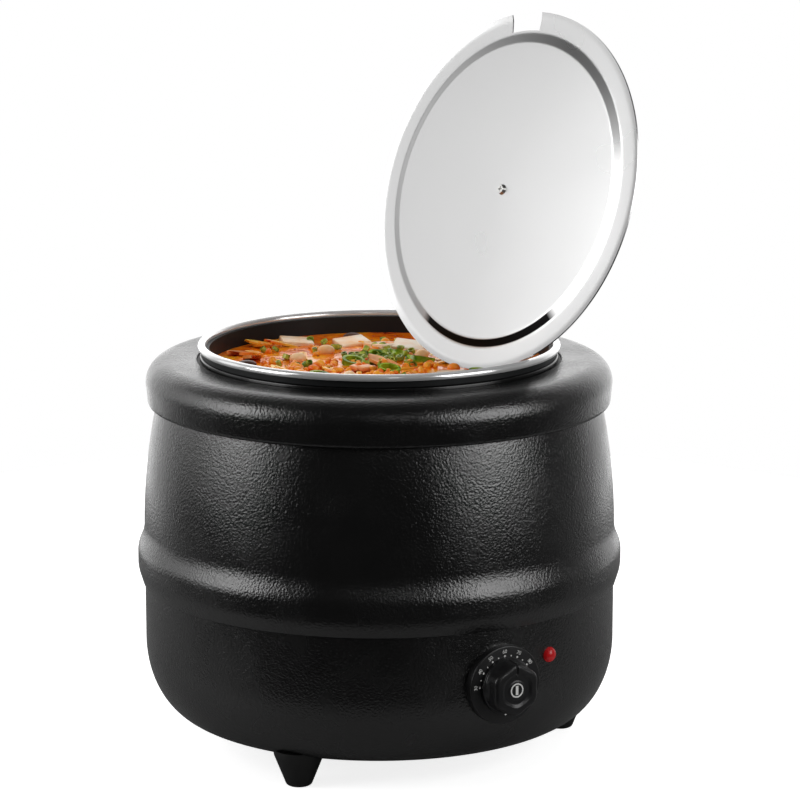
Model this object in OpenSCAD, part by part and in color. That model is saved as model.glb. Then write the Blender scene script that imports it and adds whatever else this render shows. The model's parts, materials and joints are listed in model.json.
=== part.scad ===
// Electric wet-well soup kettle with a lift-out pot and a loose lid.
// The kettle's axis is Z, the counter is z = 0 and the control faces -Y.
// Bearings are degrees round the axis from the control, positive towards +X.

/* [Lower bowl] */
// Outer radius of the lower bowl's wall
bowl_r = 165.3; // [150:0.1:190]
// Height of the bowl's flat base above the counter
base_z = 21.3; // [18:0.1:28]
// Height of the bowl's wall, from its base to the belt
bowl_h = 94.7; // [84:0.1:110]
// How far the rounded bottom corner reaches in from the wall
corner_w = 35.4; // [26:0.1:42]
// How far the rounded bottom corner reaches up from the base
corner_h = 53.6; // [44:0.1:60]
// Thickness of the pressed steel skins
skin_t = 1.2; // [1:0.1:1.6]
// Radius of the service opening in the base
base_open_r = 102; // [94:1:103]

/* [Upper shell] */
// How far the belt stands out from the bowl
belt_step = 4.7; // [3:0.1:7]
// Height of the belt's upright face
belt_face_h = 14; // [10:0.5:20]
// Height of each of the belt's two ramps
belt_ramp_h = 11; // [8:0.5:14]
// Height of the curved wall above the belt
wall_h = 98; // [90:0.5:120]
// How far the wall comes in by its top
wall_inset = 11.2; // [6:0.1:13]
// Height of the straight neck under the shell's top flange
shell_neck_h = 9; // [7:0.5:14]
// Width of the shell's flange, which carries the well
shell_flange_w = 17; // [14:0.5:18]

/* [Top collar] */
// How far the collar overhangs the shell's neck
collar_over = 8.8; // [7:0.1:12]
// Height of the collar's top above the shell's flange
collar_rise = 14.3; // [10:0.1:16]
// Height of the collar from lip to top
collar_h = 31.3; // [26:0.1:34]
// Radius of the collar's rounded top corner
collar_round = 16; // [8:0.5:17]

/* [Wet well] */
// Outer radius of the well
well_r = 125; // [123:0.1:126]
// Height of the well's neck above the collar
neck_h = 2.2; // [2:0.1:6]
// Distance between the well's floor and the pot
water_depth = 10; // [6:0.5:14]
// Free width between the well's neck and the collar
gasket_w = 2; // [1.5:0.1:3]
// How far the neck's seat turns in
neck_seat_w = 3; // [2.6:0.1:3.4]

/* [Soup pot] */
// Free gap between the pot's wall and the edge of the neck's seat
pot_gap = 2.3; // [2.3:0.1:8]
// Outside depth of the pot below the neck's seat
pot_h = 215.5; // [190:0.5:216]
// Radius of the pot's bottom corner
pot_corner = 14; // [8:1:24]
// How far the pot's skirt stands inside the neck's outer face
skirt_in = 0.7; // [0.4:0.1:1.2]
// Height of the pot's skirt
skirt_h = 4.4; // [4:0.1:8]
// Radius of the rolled rim's section
rim_roll = 2.9; // [2.5:0.1:3]
// How far the rolled rim stands out past the skirt
rim_over = 2.2; // [1.8:0.1:2.4]
// Free gap between moving bodies at rest
rest_gap = 0.3; // [0.3:0.05:0.5]

/* [Lid] */
// How far the lid's edge stands inside the rim's outer edge
lid_in = 0.7; // [-4:0.1:1.6]
// Thickness of the lid's sheet
lid_t = 1; // [0.8:0.1:1.5]
// Width of the flange round the lid's step
lid_flange_w = 14.9; // [13.6:0.1:24]
// Width of the sloping step round the centre
lid_step_w = 6.6; // [4:0.1:8]
// How far the centre stands out below the flange
lid_step_h = 2; // [1:0.1:3]
// Angle that the ladle notch takes at the lid's edge
notch_angle = 13.5; // [9:0.5:18]
// Depth of the ladle notch
notch_depth = 12.8; // [8:0.1:14]
// Radius of the lid knob's cap
lid_knob_r = 19; // [15:0.5:22]
// Height of the lid's knob
lid_knob_h = 30; // [24:0.5:36]

/* [Lid pose] */
// Angle from the closed lid to the propped one
lid_tilt = 107.2; // [100:0.1:115]
// Turn of the propped lid about the kettle's axis
lid_turn = 10.2; // [0:0.1:20]
// Turn of the notch about the lid's own axis
lid_spin = -7.8; // [-15:0.1:15]
// How far the propped lid's lowest edge hangs below the middle of the rim
lid_dip = 11.8; // [2:0.1:12.1]
// How far the propped lid's centre leans in from the rim, towards the axis
lid_lean = 40.9; // [37.6:0.1:41.4]
// Propped lid's centre, towards -Y
lid_y = 43.9; // [40:0.1:46]

/* [Feet and base] */
// Radius of the circle that the feet stand on
foot_ring_r = 129.7; // [126:0.1:132]
// Bearing of the first foot
foot_bearing = -54.5; // [-90:0.5:90]
// Radius of a foot's sole
foot_sole_r = 8.5; // [7.5:0.5:12]
// Radius of a foot's top
foot_top_r = 17.5; // [14:0.5:19]
// Number of fixing screws of the base cover
base_screws = 4; // [3:1:6]
// Number of ventilation slots in the base cover
vent_slots = 12; // [6:1:16]

/* [Heating] */
// Middle radius of the heating ring
heater_r = 78; // [60:1:84]
// Width of the heating ring's section
heater_w = 9; // [7:0.5:12]
// Height of the heating ring's section
heater_t = 7; // [5:0.5:8]
// Width of the open stretch of the heating ring
heater_gap = 36; // [24:1:50]

/* [Control] */
// Height of the control's axis
dial_z = 78.5; // [76:0.5:84]
// Radius of the dial plate
dial_r = 27; // [24:0.5:30]
// How far the dial plate's face stands out from the bowl
dial_out = 4.5; // [3.5:0.1:6]
// Radius of the control knob at its foot
knob_r = 19.2; // [17:0.1:20]
// Depth of the control knob
knob_h = 14.2; // [12.5:0.1:20]
// Radius of the thermostat's shaft
shaft_r = 3; // [2.5:0.1:4]
// Bearing of the lamp
lamp_bearing = 14; // [12:0.5:20]
// Height of the lamp above the control's axis
lamp_up = 13.1; // [8:0.1:18]
// Radius of the lamp's lens
lamp_r = 5.2; // [4:0.1:7]

/* [Cable gland] */
// Height of the cable gland
gland_z = 86; // [78:0.5:94]
// Radius of the gland's cable hole
cable_r = 3.6; // [3:0.1:4.5]

/* [Hidden] */

$fn = 96;
fine = 360;        // sides of the bowl where small pieces are cut to fit it
over = 1;          // overshoot of a cutting solid
fit = 0.1;         // gap between fixed pieces that fit together
run = 0.05;        // running clearance of the shaft
corner_steps = 20; // facets along the bowl's corner
wall_steps = 14;   // facets along the curved wall

// Heights that the main dimensions lead to
flat_r = bowl_r - corner_w;
belt_z = base_z + bowl_h;
belt_r = bowl_r + belt_step;
wall_z = belt_z + 2 * belt_ramp_h + belt_face_h;
bowl_top = belt_z + belt_ramp_h + belt_face_h;
shell_neck_r = bowl_r - wall_inset;
shell_top = wall_z + wall_h + shell_neck_h;
collar_r = shell_neck_r + collar_over;
collar_top = shell_top + collar_rise;
lip_z = collar_top - collar_h;
lip_round = 4;
collar_taper = 1.4;
collar_steps = 12;
collar_in_r = well_r + gasket_w;
seat_z = collar_top + neck_h;
pot_z = seat_z + rest_gap - pot_h;
well_z = pot_z - water_depth - skin_t;
skirt_top = seat_z + rest_gap + skirt_h;
pot_r = well_r - neck_seat_w - pot_gap;
skirt_r = well_r - skirt_in;
rim_r = skirt_r + rim_over - rim_roll;
rim_z = skirt_top + rim_roll / 2;
lid_r = skirt_r + rim_over - lid_in;
lid_disc_r = lid_r - lid_flange_w - lid_step_w;
lid_up = lid_r * sin(lid_tilt) - lid_dip;
lid_x = sqrt(rim_r * rim_r - lid_y * lid_y) - lid_lean;
floor_in = base_z + skin_t;
screw_r = 2;
screw_head_r = 3.7;
screw_head_h = 2.2;
bolt_r = 2.5;
foot_bearings = [foot_bearing, foot_bearing + 120, foot_bearing + 240];

// Profile helpers. A corner is [r, z, d], where d is how far its rounding reaches.
function unit(v) = v / norm(v);
function left_of(v) = [-v[1], v[0]];
function xy(p) = [p[0], p[1]];
function edge_normal(p, i) = left_of(unit(xy(p[i + 1]) - xy(p[i])));
function mitre(a, b) = (a + b) / (1 + a * b);
function shift_at(p, i) =
    i == 0 ? edge_normal(p, 0) :
    i == len(p) - 1 ? edge_normal(p, i - 1) :
    mitre(edge_normal(p, i - 1), edge_normal(p, i));
function offset_path(p, t) = [
    for (i = [0 : len(p) - 1]) let (q = xy(p[i]) + t * shift_at(p, i)) [q[0], q[1], p[i][2]]
];
function curve(a, b, c, u) = (1 - u) * (1 - u) * a + 2 * u * (1 - u) * b + u * u * c;
function bend(p, i, steps = 6) =
    p[i][2] == 0 ? [xy(p[i])] :
    let (
        b = xy(p[i]),
        a = b + p[i][2] * unit(xy(p[i - 1]) - b),
        c = b + p[i][2] * unit(xy(p[i + 1]) - b)
    ) [for (k = [0 : steps]) curve(a, b, c, k / steps)];
function smooth(p) = [for (i = [0 : len(p) - 1]) each bend(p, i)];
function quarter(c, size, from, steps) = [
    for (i = [0 : steps]) let (a = from + 90 * i / steps)
        [c[0] + size[0] * cos(a), c[1] + size[1] * sin(a), 0]
];
function backwards(p) = [for (i = [len(p) - 1 : -1 : 0]) p[i]];
function sheet(p, t) = concat(smooth(p), backwards(smooth(offset_path(p, t))));

// A pressed sheet of revolution whose outer face is the path and whose metal lies to its left
module pressed(path, t = skin_t) {
    rotate_extrude() polygon(sheet(path, t));
}

module ring(r_in, r_out, z, h) {
    translate([0, 0, z]) difference() {
        cylinder(r = r_out, h = h);
        translate([0, 0, -over]) cylinder(r = r_in, h = h + 2 * over);
    }
}

// Turns children that point out along -Y to a bearing round the kettle's axis
module at_bearing(bearing) {
    rotate([0, 0, bearing]) children();
}

// Moves children to a radius and height at a bearing, with their Z still upwards
module stand_at(bearing, r, z) {
    at_bearing(bearing) translate([0, -r, z]) children();
}

// Points children's Z outwards along a bearing, starting at a radius and height
module out_at(bearing, r, z) {
    stand_at(bearing, r, z) rotate([90, 0, 0]) children();
}

module pan_screw(r, length, head_r, head_h) {
    // Head's underside at z = 0, shank upwards, cross recess from below
    difference() {
        union() {
            translate([0, 0, -head_h]) cylinder(r1 = head_r * 0.72, r2 = head_r, h = head_h);
            cylinder(r = r, h = length);
        }
        for (turn = [0, 90]) rotate([0, 0, turn])
            translate([-head_r * 0.5, -0.35, -head_h - over]) cube([head_r, 0.7, head_h * 0.55 + over]);
    }
}

module hex_nut(across, h, hole_r) {
    difference() {
        cylinder(r = across / sqrt(3), h = h, $fn = 6);
        translate([0, 0, -over]) cylinder(r = hole_r, h = h + 2 * over);
    }
}

// A wire or fine tube of eight-sided section through a list of points, its legs overlapping at each bend
module wire(points, r) {
    for (i = [0 : len(points) - 2]) {
        leg = points[i + 1] - points[i];
        length = norm(leg);
        translate(points[i])
            rotate([0, acos(leg[2] / length), atan2(leg[1], leg[0])])
                translate([0, 0, -r / 2]) cylinder(r = r, h = length + r, $fn = 8);
    }
}

function polar(bearing, r, z) = [r * sin(bearing), -r * cos(bearing), z];

// ---- Lower bowl ----
bowl_path = concat(
    [[base_open_r, base_z, 0]],
    quarter([flat_r, base_z + corner_h], [corner_w, corner_h], -90, corner_steps),
    [[bowl_r, bowl_top, 0]]
);

// The bowl's outside as one solid, for pieces that sit against it
module bowl_solid() {
    rotate_extrude($fn = fine) polygon(concat([[0, base_z]], smooth(bowl_path), [[0, bowl_top]]));
}

module bowl_core() {
    rotate_extrude($fn = fine) polygon(concat([[0, base_z + skin_t]],
        smooth(offset_path(bowl_path, skin_t)), [[0, bowl_top]]));
}

bush_r = 5;
stat_screw_x = 14;
module lower_bowl() {
    color("#1b1b1b") difference() {
        pressed(bowl_path);
        out_at(0, bowl_r - 20, dial_z) cylinder(r = bush_r + fit, h = 40);
        for (x = [-stat_screw_x, stat_screw_x])
            translate([x, 0, 0]) out_at(0, bowl_r - 20, dial_z) cylinder(r = screw_r + fit, h = 40);
        out_at(lamp_bearing, bowl_r - 20, dial_z + lamp_up) cylinder(r = lamp_r - 0.7, h = 40);
        out_at(180, bowl_r - 20, gland_z) cylinder(r = gland_thread_r + fit, h = 40);
        for (b = foot_bearings)
            stand_at(b, foot_ring_r, base_z - over) cylinder(r = bolt_r + fit, h = 10);
        for (i = [0 : base_screws - 1])
            stand_at(base_screw_bearing(i), base_screw_r, base_z - over) cylinder(r = screw_r + fit, h = 4);
        stand_at(earth_bearing, block_r, base_z - over) cylinder(r = screw_r + fit, h = 4);
        for (x = block_screw_x)
            at_bearing(180) translate([x, -block_r, base_z - over]) cylinder(r = 1.5 + fit, h = 4);
    }
}

// ---- Upper shell ----
function wall_at(z) = bowl_r - wall_inset * pow(max(0, min(1, (z - wall_z) / wall_h)), 2);
shell_path = concat(
    [
        [bowl_r + fit + skin_t, belt_z, 0],
        [belt_r, belt_z + belt_ramp_h, 2.5],
        [belt_r, belt_z + belt_ramp_h + belt_face_h, 2.5],
        [bowl_r, wall_z, 3.5]
    ],
    [for (i = [1 : wall_steps]) let (z = wall_z + wall_h * i / wall_steps) [wall_at(z), z, 0]],
    [
        [shell_neck_r, shell_top, 3],
        [shell_neck_r - shell_flange_w, shell_top, 0]
    ]
);

well_screw_count = 4;
well_screw_r = shell_neck_r - shell_flange_w / 2;
module upper_shell() {
    color("#1b1b1b") difference() {
        pressed(shell_path);
        for (i = [0 : well_screw_count - 1])
            stand_at(45 + 90 * i, well_screw_r, shell_top - 5) cylinder(r = screw_r + fit, h = 10);
    }
}

// ---- Top collar ----
module top_collar() {
    bulge = [collar_r - collar_round, collar_top - collar_round];
    color("#1b1b1b") pressed(concat(
        [[wall_at(lip_z) + fit, lip_z, 0], [collar_r - collar_taper, lip_z, lip_round]],
        quarter(bulge, [collar_round, collar_round], 0, collar_steps),
        [[collar_in_r, collar_top, 1.6], [collar_in_r, shell_top + skin_t + fit, 0]]
    ));
}

// ---- Wet well ----
module water_well() {
    color("#262626") difference() {
        union() {
            pressed([
                [0, well_z, 0],
                [well_r, well_z, 16],
                [well_r, seat_z, 1.6],
                [well_r - neck_seat_w, seat_z, 0]
            ]);
            ring(well_r - skin_t / 2, shell_neck_r - fit, shell_top, skin_t);
        }
        for (i = [0 : well_screw_count - 1])
            stand_at(45 + 90 * i, well_screw_r, shell_top - 5) cylinder(r = screw_r + fit, h = 10);
    }
}

module neck_gasket() {
    color("#101010") ring(well_r + fit, collar_in_r - fit, collar_top - 9, 7.5);
}

module well_screws() {
    color("silver") for (i = [0 : well_screw_count - 1])
        stand_at(45 + 90 * i, well_screw_r, shell_top + skin_t)
            mirror([0, 0, 1]) pan_screw(screw_r, 9, screw_head_r, screw_head_h);
}

// ---- Base cover ----
cover_r = base_open_r + 9;
base_screw_r = base_open_r + 4.5;
function base_screw_bearing(i) = 360 / base_screws * i + 30;
module base_cover() {
    slot_l = 26;
    slot_w = 5;
    slot_r = 66;
    color("#2a2a2a") difference() {
        translate([0, 0, base_z - skin_t]) cylinder(r = cover_r, h = skin_t);
        for (i = [0 : vent_slots - 1]) at_bearing(360 / vent_slots * i)
            translate([-slot_w / 2, -slot_r - slot_l / 2, base_z - skin_t - over])
                cube([slot_w, slot_l, skin_t + 2 * over]);
        for (i = [0 : base_screws - 1])
            stand_at(base_screw_bearing(i), base_screw_r, base_z - skin_t - over)
                cylinder(r = screw_r + fit, h = skin_t + 2 * over);
    }
}

module base_cover_screws() {
    color("silver") for (i = [0 : base_screws - 1])
        stand_at(base_screw_bearing(i), base_screw_r, base_z - skin_t)
            pan_screw(screw_r, 8, screw_head_r, screw_head_h);
}

// ---- Feet ----
foot_bolt_z = 9;
module foot(bearing) {
    rise = base_z + 9;
    color("#0c0c0c") difference() {
        stand_at(bearing, foot_ring_r, 0) rotate_extrude() polygon(smooth([
            [0, 0, 0],
            [foot_sole_r, 0, 1.6],
            [foot_top_r, base_z + 2, 2],
            [foot_top_r, rise, 0],
            [0, rise, 0]
        ]));
        bowl_solid();
        stand_at(bearing, foot_ring_r, -over) cylinder(r = bolt_r + fit, h = base_z + 10);
        stand_at(bearing, foot_ring_r, -over) cylinder(r = 4.9, h = foot_bolt_z + over);
    }
}

module foot_front() foot(foot_bearings[0]);
module foot_side() foot(foot_bearings[1]);
module foot_rear() foot(foot_bearings[2]);

module foot_screws() {
    color("silver") for (b = foot_bearings)
        stand_at(b, foot_ring_r, foot_bolt_z)
            pan_screw(bolt_r, base_z - foot_bolt_z + 9, 4.6, 3);
}

module foot_nuts() {
    color("silver") for (b = foot_bearings)
        stand_at(b, foot_ring_r, floor_in + 0.45) hex_nut(8, 4, bolt_r + run);
}

// ---- Heating ----
heater_half_angle = asin(heater_gap / 2 / heater_r);
plate_t = 1.5;
plate_z = well_z - heater_t - plate_t;
stud_r = 3;
terminal_r = 2.5;
terminal_drop = 9;
module heater_ring() {
    color("dimgray") {
        rotate([0, 0, -90 + heater_half_angle]) rotate_extrude(angle = 360 - 2 * heater_half_angle)
            translate([heater_r - heater_w / 2, well_z - heater_t]) square([heater_w, heater_t]);
        for (side = [-1, 1])
            stand_at(side * (heater_half_angle + 2), heater_r, well_z - heater_t - terminal_drop)
                cylinder(r = terminal_r, h = terminal_drop + 1);
    }
}

module heater_clamp_plate() {
    color("silver") difference() {
        ring(stud_r + fit, heater_r + heater_w / 2 + 6, plate_z, plate_t);
        for (side = [-1, 1])
            stand_at(side * (heater_half_angle + 2), heater_r, plate_z - over)
                cylinder(r = terminal_r + 1, h = plate_t + 2 * over);
    }
}

module clamp_stud() {
    color("silver") union() {
        translate([0, 0, well_z - 1]) cylinder(r = 7, h = 1);
        translate([0, 0, plate_z - 9]) cylinder(r = stud_r, h = well_z - plate_z + 8.5);
    }
}

module clamp_nut() {
    color("silver") translate([0, 0, plate_z - 5]) hex_nut(10, 5, stud_r + run);
}

// ---- Thermostat ----
stat_w = 42;
stat_h = 32;
stat_d = 27;
stat_front = bowl_r - skin_t - 3.5;
stat_back = stat_front - stat_d;
dial_face = bowl_r + dial_out;
knob_back = dial_face + 0.5;
knob_front = knob_back + knob_h;
module thermostat_body() {
    color("#d8d2c4") difference() {
        union() {
            translate([-stat_w / 2, -stat_front, dial_z - stat_h / 2]) cube([stat_w, stat_d, stat_h]);
            out_at(0, stat_front - over, dial_z) cylinder(r = bush_r, h = bowl_r - stat_front + 2);
            difference() {
                for (x = [-stat_screw_x, stat_screw_x])
                    translate([x, -stat_front + over, dial_z]) rotate([90, 0, 0]) cylinder(r = 4, h = 8);
                difference() {
                    translate([-50, -bowl_r - 10, dial_z - 30]) cube([100, 40, 60]);
                    bowl_core();
                }
            }
        }
        out_at(0, stat_back + 8, dial_z) cylinder(r = shaft_r + run, h = 60);
        for (x = [-stat_screw_x, stat_screw_x])
            translate([x, 0, 0]) out_at(0, stat_front - 6, dial_z) cylinder(r = screw_r + run, h = 30);
    }
}

module thermostat_screws() {
    color("silver") for (x = [-stat_screw_x, stat_screw_x])
        translate([x, -dial_face + screw_head_h + 0.4, dial_z]) rotate([-90, 0, 0])
            pan_screw(screw_r, dial_face - stat_front + 2, screw_head_r, screw_head_h);
}

module thermostat_shaft() {
    color("silver") difference() {
        out_at(0, stat_back + 9, dial_z) cylinder(r = shaft_r, h = knob_front - 6 - stat_back - 9);
        translate([-shaft_r, -knob_front + 6 - over, dial_z + shaft_r - 1]) cube([2 * shaft_r, 10, 2]);
    }
}

bulb_bearing = 32;
bulb_r = 3;
bulb_l = 70;
bulb_ring = well_r + bulb_r + fit;
bulb_low = 66;
module sensor_bulb() {
    color("#b87333") stand_at(bulb_bearing, bulb_ring, bulb_low) cylinder(r = bulb_r, h = bulb_l);
}

module bulb_clip() {
    clip_h = 10;
    color("silver") stand_at(bulb_bearing, bulb_ring, bulb_low + bulb_l / 2) difference() {
        union() {
            cylinder(r = bulb_r + 1, h = clip_h);
            translate([-9, bulb_r - 0.9, 0]) cube([18, 0.9, clip_h]);
        }
        translate([0, 0, -over]) cylinder(r = bulb_r + run, h = clip_h + 2 * over);
        translate([0, bulb_r + well_r + fit, -over]) cylinder(r = well_r + fit, h = clip_h + 2 * over);
    }
}

module capillary_tube() {
    color("#b87333") wire([
        polar(bulb_bearing, bulb_ring, bulb_low + 1),
        polar(bulb_bearing - 2, bulb_ring + 1, bulb_low - 14),
        polar(bulb_bearing - 12, bulb_ring + 4, bulb_low - 26),
        [14, -stat_back + 8, dial_z - stat_h / 2 - 20],
        [12, -stat_back - 8, dial_z - stat_h / 2 + 1]
    ], 1.1);
}

// ---- Dial, knob and lamp ----
module dial_plate() {
    color("#161616") difference() {
        translate([0, -bowl_r + 6, dial_z]) rotate([90, 0, 0]) rotate_extrude() polygon(smooth([
            [bush_r + fit, 0, 0],
            [dial_r, 0, 0],
            [dial_r, dial_out + 6, 1],
            [bush_r + fit, dial_out + 6, 0]
        ]));
        bowl_solid();
        for (x = [-stat_screw_x, stat_screw_x]) {
            translate([x, 0, 0]) out_at(0, bowl_r - 10, dial_z) cylinder(r = screw_r + fit, h = 30);
            translate([x, 0, 0]) out_at(0, dial_face - screw_head_h - 0.4, dial_z)
                cylinder(r = screw_head_r + fit, h = 10);
        }
    }
}

grip_count = 6;
module control_knob() {
    grip_r = 9;
    grip_in = 3.2;
    groove_w = 1;
    groove_d = 0.7;
    cap_in = 1.6;
    side_lean = atan2(cap_in, knob_h - 3);
    color("#121212") translate([0, -knob_back, dial_z]) rotate([90, 0, 0]) difference() {
        rotate_extrude() polygon(smooth([
            [shaft_r + 0.02, 0, 0],
            [knob_r, 0, 0],
            [knob_r, 3, 1.2],
            [knob_r - cap_in, knob_h, 2.6],
            [knob_r - 7, knob_h, 1.5],
            [knob_r - 9.5, knob_h - 0.8, 1],
            [0, knob_h - 0.8, 0],
            [0, knob_h - 5.5, 0],
            [shaft_r + 0.02, knob_h - 5.5, 0]
        ]));
        for (i = [0 : grip_count - 1]) rotate([0, 0, 360 / grip_count * i])
            translate([knob_r - grip_in + grip_r, 0, 3.5]) cylinder(r = grip_r, h = knob_h);
        translate([-groove_w / 2, knob_r - groove_d, 3]) rotate([side_lean, 0, 0])
            cube([groove_w, 5, knob_h + over]);
        translate([-groove_w / 2, knob_r - 8, knob_h - groove_d]) cube([groove_w, 8, 3]);
        difference() {
            translate([0, 0, -over]) cylinder(r = knob_r - 6.5, h = knob_h - 4.5);
            translate([0, 0, -over]) cylinder(r = shaft_r + 3, h = knob_h);
        }
    }
}

lamp_z = dial_z + lamp_up;
lamp_stem_r = lamp_r - 0.8;
module lamp_lens() {
    dome_h = 3;
    color("#b01818") difference() {
        out_at(lamp_bearing, bowl_r - 1, lamp_z) rotate_extrude() polygon(smooth([
            [0, 0, 0],
            [lamp_r, 0, 0],
            [lamp_r, 1.8, 0],
            [lamp_r - 0.5, 1.8, 0],
            [lamp_r - 1.2, dome_h + 1.2, 1.8],
            [0, dome_h + 1.8, 0]
        ]));
        bowl_solid();
    }
}

module lamp_body() {
    color("#e8e4dc") union() {
        difference() {
            out_at(lamp_bearing, bowl_r - 8, lamp_z) cylinder(r = lamp_stem_r, h = 10);
            difference() {
                out_at(lamp_bearing, bowl_r - 4, lamp_z) cylinder(r = 30, h = 30);
                bowl_solid();
            }
        }
        out_at(lamp_bearing, bowl_r - 22, lamp_z) cylinder(r = lamp_stem_r - 0.6, h = 15);
        for (side = [-1, 1]) stand_at(lamp_bearing, bowl_r - 28, lamp_z)
            translate([side * 2 - 0.4, -7, -1.5]) cube([0.8, 8, 3]);
    }
}

module lamp_nut() {
    color("silver") out_at(lamp_bearing, bowl_r - 5.5, lamp_z) hex_nut(11, 3, lamp_stem_r + run);
}

// ---- Cable entry and wiring ----
gland_thread_r = 6;
gland_out = 22;
gland_in = 12;
module cable_gland() {
    color("#141414") difference() {
        union() {
            difference() {
                out_at(180, bowl_r - 3, gland_z) rotate([0, 0, 30]) cylinder(r = 10, h = 8, $fn = 6);
                bowl_solid();
            }
            out_at(180, bowl_r + 4, gland_z) cylinder(r = 7.6, h = gland_out - 4);
            out_at(180, bowl_r - gland_in, gland_z) cylinder(r = gland_thread_r, h = gland_in + 5);
        }
        out_at(180, bowl_r - gland_in - over, gland_z)
            cylinder(r = cable_r, h = gland_in + gland_out + 2 * over);
    }
}

module gland_nut() {
    color("#141414") out_at(180, bowl_r - 7, gland_z) hex_nut(17, 4, gland_thread_r + run);
}

block_r = 117;
block_size = [34, 14, 13];
wire_hole_x = 6;       // the block's outer wire holes, either side of its middle
block_screw_x = [-13, 13];
earth_bearing = 150;
module terminal_block() {
    color("#efe9dc") difference() {
        at_bearing(180) translate([-block_size[0] / 2, -block_r - block_size[1] / 2, floor_in])
            cube(block_size);
        for (x = block_screw_x)
            at_bearing(180) translate([x, -block_r, floor_in - over])
                cylinder(r = 1.5, h = block_size[2] + 2 * over);
        for (x = [-wire_hole_x, 0, wire_hole_x])
            at_bearing(180) translate([x, -block_r, floor_in + 5]) cylinder(r = 2, h = block_size[2]);
    }
}

module earth_screw() {
    color("#c8a64b") {
        stand_at(earth_bearing, block_r, base_z - skin_t) cylinder(r = screw_r, h = 16);
        stand_at(earth_bearing, block_r, floor_in) hex_nut(7, 3.2, screw_r - run);
    }
}

wire_r = 1.3;
module internal_wires() {
    heater_pin = polar(heater_half_angle + 2, heater_r, plate_z - terminal_drop + 1);
    color("#c23b22") {
        // Block to thermostat, round the side of the base
        wire([
            [wire_hole_x, block_r, floor_in + 7],
            [wire_hole_x, block_r, floor_in + block_size[2] + 6],
            polar(135, 112, floor_in + 8),
            polar(90, 112, floor_in + 8),
            polar(50, 112, floor_in + 8),
            polar(9, 118, floor_in + 14),
            [16, -stat_back - 6, dial_z - stat_h / 2]
        ], wire_r);
        // Thermostat to the heating ring's terminal
        wire([
            [-8, -stat_back - 6, dial_z - stat_h / 2],
            [-8, -stat_back - 2, floor_in + 22],
            [-polar(heater_half_angle + 2, heater_r, 0)[0], heater_pin[1], plate_z - terminal_drop + 4.5]
        ], wire_r);
        // Block to the other terminal, round the other side
        wire([
            [-wire_hole_x, block_r, floor_in + 7],
            [-wire_hole_x, block_r, floor_in + block_size[2] + 6],
            polar(225, 112, floor_in + 8),
            polar(270, 112, floor_in + 8),
            polar(318, 108, floor_in + 6),
            polar(348, 98, floor_in + 5),
            heater_pin + [0, 0, -1]
        ], wire_r);
    }
}

// ---- Soup pot ----
module soup_pot() {
    color("#151515") pressed([
        [0, pot_z, 0],
        [pot_r, pot_z, pot_corner],
        [pot_r, skirt_top - skin_t, 0],
        [skirt_r - skin_t, skirt_top - skin_t, 0],
        [skirt_r - skin_t, seat_z + rest_gap, 0]
    ]);
}

module pot_rim_band() {
    color("#c9c9c9") rotate_extrude() difference() {
        translate([rim_r, rim_z]) circle(r = rim_roll);
        translate([0, rim_z - 3 * rim_roll]) square([rim_r * 2, 3 * rim_roll - (rim_z - skirt_top)]);
    }
}

// ---- Lid, drawn closed with its flange's underside at z = 0 ----
module lid_placed() {
    translate([lid_x, -lid_y, rim_z + lid_up]) rotate([0, lid_tilt, lid_turn])
        rotate([0, 0, lid_spin]) children();
}

module lid_plate() {
    disc_low = -lid_step_h;
    color("#d2d2d2") lid_placed() difference() {
        rotate_extrude() polygon(sheet([
            [0, disc_low, 0],
            [lid_disc_r, disc_low, 1.2],
            [lid_disc_r + lid_step_w, 0, 1.2],
            [lid_r - 4, 0, 3],
            [lid_r, -1, 0]
        ], lid_t));
        rotate([0, 0, 180]) linear_extrude(height = 20, center = true) polygon([
            [lid_r - notch_depth, -(lid_r - notch_depth) * tan(notch_angle / 2)],
            [lid_r + 10, -(lid_r + 10) * tan(notch_angle / 2)],
            [lid_r + 10, (lid_r + 10) * tan(notch_angle / 2)],
            [lid_r - notch_depth, (lid_r - notch_depth) * tan(notch_angle / 2)]
        ]);
        cylinder(r = screw_r + fit, h = 20, center = true);
    }
}

disc_top = lid_t - lid_step_h;
washer_t = 0.8;
module lid_knob_washer() {
    color("silver") lid_placed() ring(screw_r + fit, 7, disc_top, washer_t);
}

module lid_knob() {
    foot_r = 9;
    waist_r = 6.5;
    color("#121212") lid_placed() translate([0, 0, disc_top + washer_t]) difference() {
        rotate_extrude() polygon(smooth([
            [0, 0, 0],
            [foot_r, 0, 1],
            [waist_r, lid_knob_h * 0.4, 6],
            [lid_knob_r, lid_knob_h * 0.62, 3],
            [lid_knob_r - 2, lid_knob_h, 5],
            [0, lid_knob_h, 0]
        ]));
        translate([0, 0, -over]) cylinder(r = screw_r + run, h = 15);
    }
}

module lid_knob_screw() {
    color("silver") lid_placed() translate([0, 0, -lid_step_h])
        pan_screw(screw_r, 13, screw_head_r, screw_head_h);
}

lower_bowl();
upper_shell();
top_collar();
water_well();
neck_gasket();
well_screws();
base_cover();
base_cover_screws();
foot_front();
foot_side();
foot_rear();
foot_screws();
foot_nuts();
heater_ring();
heater_clamp_plate();
clamp_stud();
clamp_nut();
thermostat_body();
thermostat_screws();
sensor_bulb();
bulb_clip();
capillary_tube();
dial_plate();
lamp_lens();
lamp_body();
lamp_nut();
cable_gland();
gland_nut();
terminal_block();
earth_screw();
internal_wires();
soup_pot();
pot_rim_band();
lid_plate();
lid_knob();
lid_knob_screw();
lid_knob_washer();
control_knob();
thermostat_shaft();
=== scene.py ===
import json
import math
import random

import bmesh
import bpy
from mathutils import Matrix, Vector


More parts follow.
